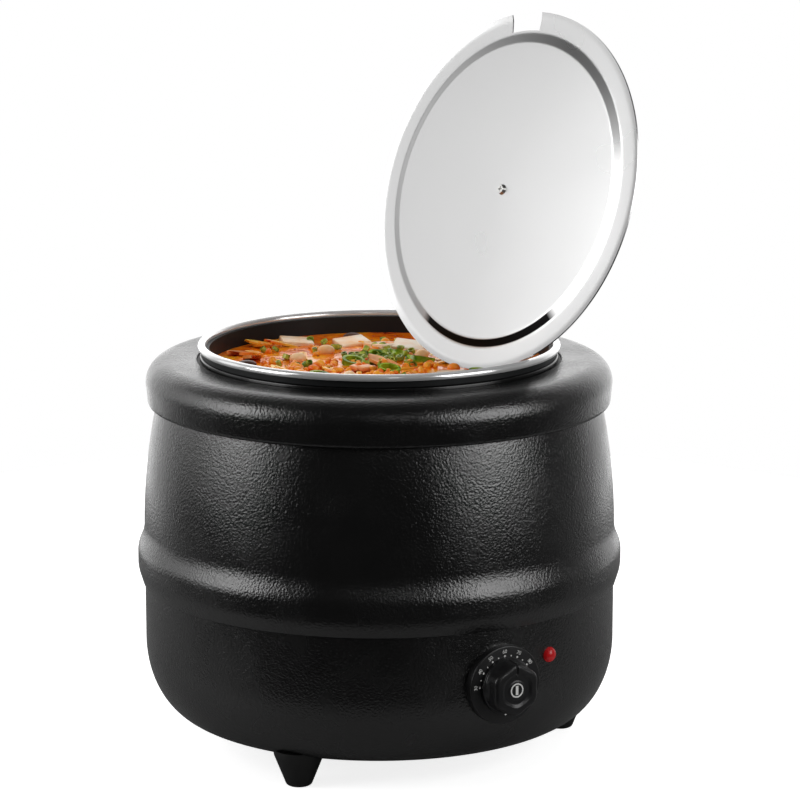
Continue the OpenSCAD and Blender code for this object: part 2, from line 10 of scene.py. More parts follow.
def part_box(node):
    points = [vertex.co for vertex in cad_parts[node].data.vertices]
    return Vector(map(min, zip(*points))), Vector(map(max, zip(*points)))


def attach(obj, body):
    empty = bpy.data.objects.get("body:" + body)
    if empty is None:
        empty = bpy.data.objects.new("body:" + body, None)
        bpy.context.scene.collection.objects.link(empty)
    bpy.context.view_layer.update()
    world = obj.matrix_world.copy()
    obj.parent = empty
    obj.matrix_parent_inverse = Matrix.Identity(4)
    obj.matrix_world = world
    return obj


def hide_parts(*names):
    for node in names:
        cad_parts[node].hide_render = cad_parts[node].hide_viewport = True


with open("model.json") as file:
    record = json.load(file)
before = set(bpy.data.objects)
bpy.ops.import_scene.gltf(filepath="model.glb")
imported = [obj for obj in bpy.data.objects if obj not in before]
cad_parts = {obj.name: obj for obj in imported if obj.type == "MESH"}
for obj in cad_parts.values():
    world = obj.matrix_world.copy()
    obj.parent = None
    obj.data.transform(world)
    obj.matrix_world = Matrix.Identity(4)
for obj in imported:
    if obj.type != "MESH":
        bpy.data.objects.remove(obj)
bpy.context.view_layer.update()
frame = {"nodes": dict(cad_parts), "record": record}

MM = 0.001
TURN = 2 * math.pi


# ---- Camera, floor and light ----
def aim(obj, place, target):
    obj.location = place
    obj.rotation_euler = (Vector(target) - Vector(place)).to_track_quat("-Z", "Y").to_euler()


def add_camera():
    data = bpy.data.cameras.new("camera")
    data.lens = 143.15
    data.sensor_width = 36
    data.clip_end = 50
    data.dof.use_dof = False
    cam = bpy.data.objects.new("camera", data)
    cam.location = (-1.0784, -1.8969, 0.691)
    cam.rotation_euler = (math.radians(78.37), 0, math.radians(-30))
    bpy.context.scene.collection.objects.link(cam)
    bpy.context.scene.camera = cam


def from_front(azimuth, elevation, distance):
    """A place round the kettle: azimuth 0 is towards the camera and positive to its right."""
    a = math.radians(azimuth - 29.6)
    e = math.radians(elevation)
    return Vector((
        distance * math.cos(e) * math.sin(a),
        -distance * math.cos(e) * math.cos(a),
        0.2 + distance * math.sin(e),
    ))


def add_panel(name, azimuth, elevation, distance, width, height, radiance, glossy=True):
    data = bpy.data.lights.new(name, "AREA")
    data.shape = "RECTANGLE"
    data.size = width
    data.size_y = height
    data.energy = radiance * math.pi * width * height
    panel = bpy.data.objects.new(name, data)
    aim(panel, from_front(azimuth, elevation, distance), (0, 0, 0.2))
    panel.visible_glossy = glossy
    panel.visible_camera = False
    bpy.context.scene.collection.objects.link(panel)


def add_world():
    world = bpy.data.worlds.new("studio")
    bpy.context.scene.world = world
    world.use_nodes = True
    nt = world.node_tree
    nt.nodes.clear()
    out = nt.nodes.new("ShaderNodeOutputWorld")
    room = nt.nodes.new("ShaderNodeBackground")
    paper = nt.nodes.new("ShaderNodeBackground")
    mix = nt.nodes.new("ShaderNodeMixShader")
    path = nt.nodes.new("ShaderNodeLightPath")
    coord = nt.nodes.new("ShaderNodeTexCoord")
    dot = nt.nodes.new("ShaderNodeVectorMath")
    dot.operation = "DOT_PRODUCT"
    back = -from_front(0, 0, 1)
    dot.inputs[1].default_value = (back.x, back.y, 0)
    front_to_back = [(0.0, 0.02), (0.45, 0.03), (0.62, 0.12), (0.78, 0.32), (0.87, 1.1), (1.0, 1.7)]
    half = nt.nodes.new("ShaderNodeMapRange")
    half.inputs["From Min"].default_value = -1
    half.inputs["From Max"].default_value = 1
    nt.links.new(coord.outputs["Generated"], dot.inputs[0])
    nt.links.new(dot.outputs["Value"], half.inputs["Value"])
    grey = color_ramp(nt, half.outputs["Result"], [(place, (value,) * 3) for place, value in front_to_back])
    nt.links.new(grey, room.inputs["Color"])
    paper.inputs["Color"].default_value = (1, 1, 1, 1)
    paper.inputs["Strength"].default_value = 1.0
    nt.links.new(path.outputs["Is Camera Ray"], mix.inputs["Fac"])
    nt.links.new(room.outputs["Background"], mix.inputs[1])
    nt.links.new(paper.outputs["Background"], mix.inputs[2])
    nt.links.new(mix.outputs["Shader"], out.inputs["Surface"])


def add_floor():
    mesh = bpy.data.meshes.new("floor")
    bm = bmesh.new()
    bmesh.ops.create_circle(bm, cap_ends=True, segments=96, radius=0.62)
    bmesh.ops.translate(bm, verts=bm.verts, vec=(0.16, 0.28, 0))
    bm.to_mesh(mesh)
    bm.free()
    floor = bpy.data.objects.new("floor", mesh)
    mat = bpy.data.materials.new("pale_floor")
    mat.use_nodes = True
    shader = mat.node_tree.nodes["Principled BSDF"]
    nt = mat.node_tree
    # Painted shade in reflections: the floor is pale to the camera and to diffuse light but dark grey in
    # glossy rays, so the kettle mirrors it darker than it is lit
    path = nt.nodes.new("ShaderNodeLightPath")
    painted_reflection_tone = nt.nodes.new("ShaderNodeMix")
    painted_reflection_tone.data_type = "RGBA"
    painted_reflection_tone.inputs["A"].default_value = (0.9, 0.9, 0.9, 1)
    painted_reflection_tone.inputs["B"].default_value = (0.22, 0.22, 0.22, 1)
    nt.links.new(path.outputs["Is Glossy Ray"], painted_reflection_tone.inputs["Factor"])
    nt.links.new(painted_reflection_tone.outputs["Result"], shader.inputs["Base Color"])
    glow = remap(nt, path.outputs["Is Camera Ray"], 0.0, 1.0, 0.0, 0.8)
    nt.links.new(glow, shader.inputs["Emission Strength"])
    shader.inputs["Roughness"].default_value = 0.7
    shader.inputs["Emission Color"].default_value = (1, 1, 1, 1)
    mesh.materials.append(mat)
    bpy.context.scene.collection.objects.link(floor)


# ---- Materials ----
def new_material(name, color, roughness, metallic=0.0, **sockets):
    mat = bpy.data.materials.new(name)
    mat.use_nodes = True
    shader = mat.node_tree.nodes["Principled BSDF"]
    shader.inputs["Base Color"].default_value = (*color, 1)
    shader.inputs["Roughness"].default_value = roughness
    shader.inputs["Metallic"].default_value = metallic
    for key, value in sockets.items():
        shader.inputs[key.replace("_", " ")].default_value = value
    return mat, mat.node_tree, shader


def object_coords(nt, stretch=(1, 1, 1)):
    coord = nt.nodes.new("ShaderNodeTexCoord")
    place = nt.nodes.new("ShaderNodeMapping")
    place.inputs["Scale"].default_value = stretch
    nt.links.new(coord.outputs["Object"], place.inputs["Vector"])
    return place.outputs["Vector"]


def noise(nt, vector, scale, detail=2.0, rough=0.5):
    node = nt.nodes.new("ShaderNodeTexNoise")
    node.inputs["Scale"].default_value = scale
    node.inputs["Detail"].default_value = detail
    node.inputs["Roughness"].default_value = rough
    nt.links.new(vector, node.inputs["Vector"])
    return node.outputs["Fac"]


def remap(nt, value, low, high, to_low, to_high):
    node = nt.nodes.new("ShaderNodeMapRange")
    node.inputs["From Min"].default_value = low
    node.inputs["From Max"].default_value = high
    node.inputs["To Min"].default_value = to_low
    node.inputs["To Max"].default_value = to_high
    nt.links.new(value, node.inputs["Value"])
    return node.outputs["Result"]


def bump(nt, shader, height, strength, distance):
    node = nt.nodes.new("ShaderNodeBump")
    node.inputs["Strength"].default_value = strength
    node.inputs["Distance"].default_value = distance
    nt.links.new(height, node.inputs["Height"])
    nt.links.new(node.outputs["Normal"], shader.inputs["Normal"])


def color_ramp(nt, value, stops):
    """A ramp through (place, colour) stops; the first and last are its ends."""
    node = nt.nodes.new("ShaderNodeValToRGB")
    for element, (place, color) in zip(node.color_ramp.elements, (stops[0], stops[-1])):
        element.position = place
        element.color = (*color, 1)
    for place, color in stops[1:-1]:
        node.color_ramp.elements.new(place).color = (*color, 1)
    nt.links.new(value, node.inputs["Fac"])
    return node.outputs["Color"]


bpy.context.scene.view_settings.view_transform = "Standard"
add_camera()
add_world()
add_floor()
add_panel("left_softbox", -73, 20, 1.7, 0.9, 1.1, 3.6)
add_panel("left_fill", -106, 16, 1.9, 0.8, 1.2, 0.95)
add_panel("right_softbox", 56, 20, 1.8, 1.1, 1.1, 3.4)
add_panel("front_glint", 9, 32, 2.3, 0.16, 0.3, 4.0)
add_panel("ceiling", 0, 88, 1.8, 2.2, 2.2, 1.05, glossy=False)


def grain_group():
    """The finish most pieces share: fine even relief and a slightly uneven gloss."""
    group = bpy.data.node_groups.new("fine_grain", "ShaderNodeTree")
    for name in ("Scale", "Depth", "Low", "High"):
        group.interface.new_socket(name, in_out="INPUT", socket_type="NodeSocketFloat")
    group.interface.new_socket("Roughness", in_out="OUTPUT", socket_type="NodeSocketFloat")
    group.interface.new_socket("Normal", in_out="OUTPUT", socket_type="NodeSocketVector")
    enter = group.nodes.new("NodeGroupInput")
    leave = group.nodes.new("NodeGroupOutput")
    where = object_coords(group)
    relief = noise(group, where, 1.0)
    group.links.new(enter.outputs["Scale"], relief.node.inputs["Scale"])
    bumps = group.nodes.new("ShaderNodeBump")
    group.links.new(relief, bumps.inputs["Height"])
    group.links.new(enter.outputs["Depth"], bumps.inputs["Distance"])
    gloss = remap(group, noise(group, where, 30), 0.3, 0.7, 0.0, 1.0)
    group.links.new(enter.outputs["Low"], gloss.node.inputs["To Min"])
    group.links.new(enter.outputs["High"], gloss.node.inputs["To Max"])
    group.links.new(gloss, leave.inputs["Roughness"])
    group.links.new(bumps.outputs["Normal"], leave.inputs["Normal"])
    return group


FINE_GRAIN = grain_group()


def grainy(name, color, roughness, scale, depth, metallic=0.0, spread=0.05, **sockets):
    mat, nt, shader = new_material(name, color, roughness, metallic, **sockets)
    grain = nt.nodes.new("ShaderNodeGroup")
    grain.node_tree = FINE_GRAIN
    grain.inputs["Scale"].default_value = scale
    grain.inputs["Depth"].default_value = depth
    grain.inputs["Low"].default_value = roughness - spread
    grain.inputs["High"].default_value = roughness + spread
    nt.links.new(grain.outputs["Roughness"], shader.inputs["Roughness"])
    nt.links.new(grain.outputs["Normal"], shader.inputs["Normal"])
    return mat


# The lid is modelled closed about Z and then moved to its propped place
LID_TILT, LID_TURN, LID_SPIN = 107.2, 10.2, -7.8
LID_R, LID_T, DISC_R, STEP_W, STEP_H = 125.8, 1.0, 104.3, 6.6, 2.0
WASHER_MID = LID_T - STEP_H + 0.4
lid_turning = (
    Matrix.Rotation(math.radians(LID_TURN), 4, "Z") @ Matrix.Rotation(math.radians(LID_TILT), 4, "Y")
)
washer_lo, washer_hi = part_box("lid_knob_washer")
lid_centre = (washer_lo + washer_hi) / 2 - lid_turning @ Vector((0, 0, WASHER_MID * MM))
LID_PLACE = Matrix.Translation(lid_centre) @ lid_turning @ Matrix.Rotation(math.radians(LID_SPIN), 4, "Z")


def math_node(nt, operation, first, second=None):
    node = nt.nodes.new("ShaderNodeMath")
    node.operation = operation
    for socket, value in zip(node.inputs, (first, second)):
        if isinstance(value, (int, float)):
            socket.default_value = value
        elif value is not None:
            nt.links.new(value, socket)
    return node.outputs["Value"]


def within(nt, value, low, high, soft):
    """A mask that is 1 between two values and fades over a little either side of each."""
    rise = remap(nt, value, low - soft, low + soft, 0, 1)
    fall = remap(nt, value, high - soft, high + soft, 1, 0)
    return math_node(nt, "MULTIPLY", rise, fall)


def lid_finish():
    """Satin steel, with a painted reflection: a dark crescent painted along the lower part of the step,
    standing in for the pot mirrored in it.
    """
    mat, nt, shader = new_material("satin_lid_steel_with_painted_reflection", (0.7, 0.7, 0.7), 0.3, 1.0)
    coord = nt.nodes.new("ShaderNodeTexCoord")
    local = nt.nodes.new("ShaderNodeMapping")
    local.vector_type = "TEXTURE"
    local.inputs["Location"].default_value = LID_PLACE.translation
    local.inputs["Rotation"].default_value = LID_PLACE.to_euler()
    nt.links.new(coord.outputs["Object"], local.inputs["Vector"])
    axes = nt.nodes.new("ShaderNodeSeparateXYZ")
    nt.links.new(local.outputs["Vector"], axes.inputs["Vector"])
    x, y = axes.outputs["X"], axes.outputs["Y"]
    squares = [math_node(nt, "MULTIPLY", axis, axis) for axis in (x, y)]
    radius = math_node(nt, "SQRT", math_node(nt, "ADD", *squares))
    bearing = math_node(nt, "ARCTAN2", y, x)
    # Painted reflection: a mask over the step's band and a span of bearings, where the steel is painted
    # near-black as the dark pot mirrored in it
    painted_reflection_band = within(nt, radius, (DISC_R + 0.7) * MM, (DISC_R + STEP_W - 0.8) * MM, 0.3 * MM)
    along = within(nt, bearing, math.radians(-36), math.radians(34), math.radians(2))
    painted_reflection_tone = nt.nodes.new("ShaderNodeMix")
    painted_reflection_tone.data_type = "RGBA"
    painted_reflection_tone.inputs["A"].default_value = (0.6, 0.6, 0.6, 1)
    painted_reflection_tone.inputs["B"].default_value = (0.006, 0.006, 0.006, 1)
    nt.links.new(math_node(nt, "MULTIPLY", painted_reflection_band, along), painted_reflection_tone.inputs["Factor"])
    nt.links.new(painted_reflection_tone.outputs["Result"], shader.inputs["Base Color"])
    streaks = nt.nodes.new("ShaderNodeMapping")
    streaks.inputs["Scale"].default_value = (40, 900, 900)
    nt.links.new(local.outputs["Vector"], streaks.inputs["Vector"])
    bump(nt, shader, noise(nt, streaks.outputs["Vector"], 1.0, 3), 0.15, 0.00005)
    cloudy = noise(nt, local.outputs["Vector"], 12)
    nt.links.new(remap(nt, cloudy, 0.3, 0.7, 0.26, 0.34), shader.inputs["Roughness"])
    return mat


def broth_finish():
    mat, nt, shader = new_material("chilli_broth", (0.7, 0.13, 0.01), 0.12, 0.0, IOR=1.36)
    where = object_coords(nt)
    swirl = noise(nt, where, 38, 6, 0.62)
    deep, red, oily = (0.5, 0.045, 0.001), (0.95, 0.2, 0.003), (1.0, 0.46, 0.02)
    color = color_ramp(nt, swirl, [(0.33, deep), (0.5, red), (0.66, oily)])
    nt.links.new(color, shader.inputs["Base Color"])
    bump(nt, shader, noise(nt, where, 140, 3), 0.5, 0.0012)
    return mat


def food(name, dark, light, scale=90, roughness=0.35):
    mat, nt, shader = new_material(name, light, roughness)
    where = object_coords(nt)
    color = color_ramp(nt, noise(nt, where, scale, 3), [(0.36, dark), (0.62, light)])
    nt.links.new(color, shader.inputs["Base Color"])
    bump(nt, shader, noise(nt, where, 400), 0.4, 0.0006)
    return mat


MATS = {
    "black_enamel": grainy("black_enamel", (0.005, 0.005, 0.005), 0.25, 620, 0.0004, IOR=1.8),
    "neck_enamel": grainy("neck_enamel", (0.004, 0.004, 0.004), 0.22, 260, 0.00003),
    "well_steel": grainy("well_coating", (0.02, 0.02, 0.021), 0.42, 300, 0.00005),
    "pot_coating": grainy(
        "pot_coating", (0.010, 0.011, 0.0115), 0.5, 300, 0.00003, Specular_IOR_Level=0.2,
    ),
    "bright_steel": grainy("polished_steel", (0.92, 0.92, 0.92), 0.16, 90, 0.00003, 0.6, 0.03),
    "lid_steel": lid_finish(),
    "galvanised": grainy("galvanised_sheet", (0.4, 0.41, 0.42), 0.45, 60, 0.00004, 1.0, 0.1),
    "screws": grainy("zinc_plate", (0.62, 0.62, 0.6), 0.3, 900, 0.00002, 1.0),
    "foot_rubber": grainy("foot_rubber", (0.006, 0.006, 0.006), 0.5, 700, 0.00008),
    "black_plastic": grainy("black_plastic", (0.008, 0.008, 0.0085), 0.36, 1200, 0.00003),
    "gasket_rubber": grainy("gasket_rubber", (0.012, 0.012, 0.012), 0.55, 800, 0.00005),
    "heater_sheath": grainy("heater_sheath", (0.12, 0.11, 0.10), 0.5, 300, 0.00005, 1.0, 0.1),
    "phenolic": grainy("cream_thermoset", (0.62, 0.56, 0.45), 0.5, 500, 0.00004),
    "copper": grainy("bare_copper", (0.72, 0.36, 0.2), 0.32, 500, 0.00003, 1.0),
    "brass": grainy("plain_brass", (0.6, 0.42, 0.14), 0.3, 500, 0.00003, 1.0),
    "wire_red": grainy("red_silicone_wire", (0.4, 0.03, 0.02), 0.5, 600, 0.00004),
    "lamp_red": grainy(
        "red_lens", (0.4, 0.008, 0.01), 0.25, 200, 0.00002,
        Emission_Color=(0.6, 0.01, 0.012, 1), Emission_Strength=0.12,
    ),
    "print_white": grainy("white_print", (0.75, 0.75, 0.73), 0.5, 900, 0.00002),
}

for entry in frame["record"]["subparts"]:
    node = frame["nodes"][entry["node"]]
    node.data.materials.clear()
    node.data.materials.append(MATS[entry["material_slot"]])


# ---- Modelling ----
def as_object(name, bm, mat, body, smooth_deg=35):
    mesh = bpy.data.meshes.new(name)
    bm.to_mesh(mesh)
    bm.free()
    mesh.shade_smooth()
    mesh.set_sharp_from_angle(angle=math.radians(smooth_deg))
    mesh.materials.append(mat)
    obj = bpy.data.objects.new(name, mesh)
    bpy.context.scene.collection.objects.link(obj)
    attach(obj, body)
    return obj


def lathe(outline, rounds=(), steps=192, closed=True, angle=TURN):
    """Spins an outline of (radius, height) points in mm about Z, then rounds the named rings.

    Each round is (point number, size in mm, segments)."""
    bm = bmesh.new()
    verts = [bm.verts.new((r * MM, 0, z * MM)) for r, z in outline]
    pairs = list(zip(verts, verts[1:]))
    if closed:
        pairs.append((verts[-1], verts[0]))
    edges = [bm.edges.new(pair) for pair in pairs]
    bmesh.ops.spin(
        bm, geom=verts + edges, axis=(0, 0, 1), cent=(0, 0, 0),
        steps=steps, angle=angle, use_merge=True,
    )
    bmesh.ops.remove_doubles(bm, verts=bm.verts, dist=1e-7)
    bmesh.ops.dissolve_degenerate(bm, edges=bm.edges, dist=1e-8)
    for number, size, segments in rounds:
        r, z = outline[number][0] * MM, outline[number][1] * MM
        on_ring = {
            v for v in bm.verts
            if abs(v.co.z - z) < 1e-6 and abs(math.hypot(v.co.x, v.co.y) - r) < 1e-6
        }
        ring = [e for e in bm.edges if e.verts[0] in on_ring and e.verts[1] in on_ring]
        bmesh.ops.bevel(
            bm, geom=ring, offset=size * MM, offset_type="OFFSET", segments=segments,
            profile=0.5, affect="EDGES", material=-1,
        )
    bmesh.ops.recalc_face_normals(bm, faces=bm.faces)
    return bm


def thick(path, t):
    """A closed outline of a sheet whose outer face is the path and whose metal is to its left."""
    pts = [Vector(p) for p in path]
    inner = []
    for i, p in enumerate(pts):
        a = (pts[i] - pts[i - 1]).normalized() if i else None
        b = (pts[i + 1] - pts[i]).normalized() if i + 1 < len(pts) else None
        na = Vector((-a.y, a.x)) if a else None
        nb = Vector((-b.y, b.x)) if b else None
        n = (na + nb) / (1 + na.dot(nb)) if na and nb else (na or nb)
        inner.append(p + n * t)
    return [tuple(p) for p in pts] + [tuple(p) for p in reversed(inner)]


def arc(cr, cz, rr, rz, start, end, steps):
    return [
        (cr + rr * math.cos(math.radians(start + (end - start) * i / steps)),
         cz + rz * math.sin(math.radians(start + (end - start) * i / steps)))
        for i in range(steps + 1)
    ]


def box_mm(node):
    lo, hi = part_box(node)
    return lo / MM, hi / MM


SKIN = 1.2
bowl_lo, bowl_hi = box_mm("lower_bowl")
shell_lo, shell_hi = box_mm("upper_shell")
collar_lo, collar_hi = box_mm("top_collar")
well_lo, well_hi = box_mm("water_well")
pot_lo, pot_hi = box_mm("soup_pot")
band_hi = box_mm("pot_rim_band")[1]
bowl_r = bowl_hi.x
belt_r = shell_hi.x
collar_r = collar_hi.x

# Lower bowl: flat base, long elliptical corner and upright wall
CORNER_W, CORNER_H = 35.4, 53.6
BASE_OPEN_R = 102
bowl_outline = thick(
    [(BASE_OPEN_R, bowl_lo.z)]
    + arc(bowl_r - CORNER_W, bowl_lo.z + CORNER_H, CORNER_W, CORNER_H, -90, 0, 24)
    + [(bowl_r, bowl_hi.z)],
    SKIN,
)
bowl = as_object("bowl_shell", lathe(bowl_outline), MATS["black_enamel"], "kettle")
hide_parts("lower_bowl")

# Upper shell: rolled lip, belt and a barrel wall
RAMP_H, FACE_H, WALL_H, WALL_INSET, FLANGE_W = 11, 14, 98, 11.2, 17
lip_z = shell_lo.z
wall_z = lip_z + 2 * RAMP_H + FACE_H


def wall_at(z):
    return bowl_r - WALL_INSET * max(0, min(1, (z - wall_z) / WALL_H)) ** 2


shell_path = [
    (bowl_r + 0.1 + SKIN, lip_z),
    (belt_r, lip_z + RAMP_H),
    (belt_r, lip_z + RAMP_H + FACE_H),
    (bowl_r, wall_z),
] + [(wall_at(wall_z + WALL_H * i / 24), wall_z + WALL_H * i / 24) for i in range(1, 25)] + [
    (wall_at(shell_hi.z), shell_hi.z),
    (wall_at(shell_hi.z) - FLANGE_W, shell_hi.z),
]
shell_outline = thick(shell_path, SKIN)
shell = as_object(
    "barrel_shell",
    lathe(shell_outline, [(1, 3.2, 5), (2, 3.2, 5), (3, 4.5, 5), (0, 0.5, 2)]),
    MATS["black_enamel"], "kettle",
)
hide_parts("upper_shell")

# Collar: half-round top rail with a tucked lip
COLLAR_ROUND, COLLAR_TAPER, GASKET_IN = 16, 1.4, 127
collar_path = (
    [(wall_at(collar_lo.z) + 0.1, collar_lo.z), (collar_r - COLLAR_TAPER, collar_lo.z)]
    + arc(collar_r - COLLAR_ROUND, collar_hi.z - COLLAR_ROUND, COLLAR_ROUND, COLLAR_ROUND, 0, 90, 20)
    + [(GASKET_IN, collar_hi.z), (GASKET_IN, shell_hi.z + SKIN + 0.1)]
)
collar = as_object(
    "rounded_collar",
    lathe(thick(collar_path, SKIN), [(1, 3.0, 5), (len(collar_path) - 2, 1.1, 4)]),
    MATS["black_enamel"], "kettle",
)
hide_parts("top_collar")

# Well: its neck shows between the collar and the pot
WELL_R, SEAT_W, FLOOR_ROUND = 125, 3, 15
well_path = (
    [(0, well_lo.z)]
    + arc(WELL_R - FLOOR_ROUND, well_lo.z + FLOOR_ROUND, FLOOR_ROUND, FLOOR_ROUND, -90, 0, 10)
    + [(WELL_R, well_hi.z), (WELL_R - SEAT_W, well_hi.z)]
)
well = as_object(
    "well_with_neck",
    lathe(thick(well_path, SKIN), [(len(well_path) - 2, 1.2, 4)]),
    MATS["neck_enamel"], "kettle",
)
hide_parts("water_well")

# Soup pot, its skirt and its rolled rim
POT_R, POT_ROUND, SKIRT_H = 119.7, 12, 4.4
skirt_r = pot_hi.x
pot_path = (
    [(0, pot_lo.z)]
    + arc(POT_R - POT_ROUND, pot_lo.z + POT_ROUND, POT_ROUND, POT_ROUND, -90, 0, 10)
    + [
        (POT_R, pot_hi.z - SKIN),
        (skirt_r - SKIN, pot_hi.z - SKIN),
        (skirt_r - SKIN, pot_hi.z - SKIRT_H),
    ]
)
pot = as_object(
    "lift_out_pot", lathe(thick(pot_path, SKIN), [(len(pot_path) + 1, 1.0, 4)]),
    MATS["pot_coating"], "pot",
)
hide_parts("soup_pot")

RIM_ROLL = 2.9
rim_r = band_hi.x - RIM_ROLL
rim_z = band_hi.z - RIM_ROLL
rim_cut = math.degrees(math.asin((rim_z - pot_hi.z) / RIM_ROLL))
rim = as_object(
    "rolled_rim",
    lathe(arc(rim_r, rim_z, RIM_ROLL, RIM_ROLL, -rim_cut, 180 + rim_cut, 20)),
    MATS["bright_steel"], "pot", 60,
)
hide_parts("pot_rim_band")

# ---- Lid, modelled closed about Z and then moved to its propped place ----
NOTCH_HALF, NOTCH_DEPTH = math.radians(6.75), 12.8
lid_path = [
    (0, -STEP_H), (DISC_R, -STEP_H), (DISC_R + STEP_W, 0),
    (LID_R - NOTCH_DEPTH, 0), (LID_R - 4, 0), (LID_R, -1),
]
lid_bm = lathe(thick(lid_path, LID_T), [(1, 1.0, 4), (2, 1.0, 4), (4, 1.6, 4)], steps=320)


def cut_notch(bm):
    """Opens the ladle notch in the lid's edge at its -X side and closes its three walls."""
    inner = (LID_R - NOTCH_DEPTH) * MM
    gone = []
    for f in bm.faces:
        c = f.calc_center_median()
        if c.xy.length > inner and abs(math.atan2(c.y, -c.x)) < NOTCH_HALF:
            gone.append(f)
    bmesh.ops.delete(bm, geom=gone, context="FACES")
    arcs = [
        e for e in bm.edges
        if e.is_boundary and all(abs(v.co.xy.length - inner) < 1e-6 for v in e.verts)
    ]
    bmesh.ops.bridge_loops(bm, edges=arcs)
    bmesh.ops.holes_fill(bm, edges=[e for e in bm.edges if e.is_boundary], sides=0)
    bmesh.ops.recalc_face_normals(bm, faces=bm.faces)


cut_notch(lid_bm)
bmesh.ops.transform(lid_bm, matrix=LID_PLACE, verts=lid_bm.verts)
lid = as_object("lid_sheet", lid_bm, MATS["lid_steel"], "lid", 40)
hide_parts("lid_plate")

KNOB_H, KNOB_CAP_R = 30, 19
knob_foot = LID_T - STEP_H + 0.8
lid_knob_bm = lathe([
    (0, knob_foot), (9, knob_foot), (8.4, knob_foot + 2), (6.6, knob_foot + 8), (7.2, knob_foot + 13),
    (KNOB_CAP_R - 4, knob_foot + 17), (KNOB_CAP_R, knob_foot + 21), (KNOB_CAP_R - 0.6, knob_foot + 25),
    (KNOB_CAP_R - 5, knob_foot + 29), (0, knob_foot + KNOB_H),
], [(1, 0.5, 2), (5, 1.5, 4), (6, 1.5, 4), (7, 1.5, 4), (8, 2.5, 4)], steps=72, closed=False)
bmesh.ops.transform(lid_knob_bm, matrix=LID_PLACE, verts=lid_knob_bm.verts)
lid_knob = as_object("lid_grip", lid_knob_bm, MATS["black_plastic"], "lid", 50)
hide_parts("lid_knob")

# ---- Feet ----
SOLE_R, FOOT_TOP_R, FOOT_H = 8.5, 17.5, 26
foot_outline = [
    (0, 0), (SOLE_R, 0), (FOOT_TOP_R - 0.3, FOOT_H - 4), (FOOT_TOP_R, FOOT_H), (0, FOOT_H),
]
for foot_node in ("foot_front", "foot_side", "foot_rear"):
    lo, hi = box_mm(foot_node)
    foot_bm = lathe(foot_outline, [(1, 1.8, 4), (2, 1.5, 3)], steps=64, closed=False)
    middle = Vector(((lo.x + hi.x) / 2, (lo.y + hi.y) / 2, 0))
    bmesh.ops.translate(foot_bm, verts=foot_bm.verts, vec=middle * MM)
    foot = as_object(foot_node + "_cone", foot_bm, MATS["foot_rubber"], "kettle")
    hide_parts(foot_node)

# ---- Control: dial plate, its print and the knob ----
DIAL_R = 27
dial_lo = box_mm("dial_plate")[0]
ctrl_lo, ctrl_hi = box_mm("control_knob")
dial_z = (ctrl_lo.z + ctrl_hi.z) / 2
dial_face = -dial_lo.y
knob_back = -ctrl_hi.y
knob_depth = ctrl_hi.y - ctrl_lo.y
FACING = Matrix.Rotation(math.radians(90), 4, "X")


def on_front(y, z=None):
    """Turns a piece modelled about +Z to face -Y, its foot at a distance y in front of the axis."""
    return Matrix.Translation(Vector((0, -y, dial_z if z is None else z)) * MM) @ FACING


PLATE_SUNK = 5.5
plate_t = dial_face - bowl_r + PLATE_SUNK
plate_bm = lathe(
    [(0, 0), (DIAL_R, 0), (DIAL_R, plate_t), (0, plate_t)],
    [(2, 1.0, 4)], steps=128, closed=False,
)
bmesh.ops.transform(plate_bm, matrix=on_front(bowl_r - PLATE_SUNK), verts=plate_bm.verts)
plate = as_object("dial_disc", plate_bm, MATS["black_plastic"], "kettle")
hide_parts("dial_plate")

KNOB_R = (ctrl_hi.x - ctrl_lo.x) / 2
FLANGE_H, CAP_IN, HUB_R = 3, 1.6, 9.7
knob_outline = [
    (0, 0), (KNOB_R, 0), (KNOB_R, FLANGE_H - 0.6), (KNOB_R - 0.7, FLANGE_H), (KNOB_R - CAP_IN, knob_depth),
    (HUB_R + 2.4, knob_depth), (HUB_R, knob_depth - 0.9), (6.6, knob_depth - 0.9),
    (6.2, knob_depth - 0.6), (0, knob_depth - 0.6),
]
knob_bm = lathe(knob_outline, [(2, 0.5, 3), (4, 2.4, 7)], steps=360, closed=False)
bmesh.ops.subdivide_edges(
    knob_bm,
    edges=[e for e in knob_bm.edges if abs(e.verts[0].co.z - e.verts[1].co.z) > 5 * MM],
    cuts=10, use_grid_fill=True,
)
bmesh.ops.subdivide_edges(
    knob_bm,
    edges=[
        e for e in knob_bm.edges
        if abs(e.verts[0].co.xy.length - e.verts[1].co.xy.length) > 2.3 * MM and e.verts[0].co.z > 8 * MM
        and e.verts[1].co.z > 8 * MM
    ],
    cuts=6, use_grid_fill=True,
)
LOBES, HOLLOW, GROOVE_HALF, GROOVE_DEPTH = 6, 1.5, 0.9, 0.9
for v in knob_bm.verts:
    r, z = v.co.xy.length / MM, v.co.z / MM
    if r < HUB_R + 0.2 or z < FLANGE_H + 0.1:
        continue
    a = math.atan2(v.co.y, v.co.x)
    hollow = 0.5 - 0.5 * math.cos(LOBES * (a - math.pi / 6))
    climb = min(1.0, (z - FLANGE_H) / 3)
    depth = HOLLOW * hollow * climb * min(1.0, (r - HUB_R) / 5)
    off = abs((a - math.pi / 2 + math.pi) % TURN - math.pi) * r
    if off < GROOVE_HALF:
        cut = GROOVE_DEPTH * (1 - (off / GROOVE_HALF) ** 2)
        if z > knob_depth - 0.3:
            v.co.z -= cut * MM
        else:
            depth += cut
    v.co.xy *= (r - depth) / r
bmesh.ops.transform(knob_bm, matrix=on_front(knob_back), verts=knob_bm.verts)
knob = as_object("temperature_knob", knob_bm, MATS["black_plastic"], "control", 50)
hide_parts("control_knob")


def flat_ring(r_in, r_out, height, steps=64):
    return lathe([(r_in, 0), (r_out, 0), (r_out, height), (r_in, height)], steps=steps)


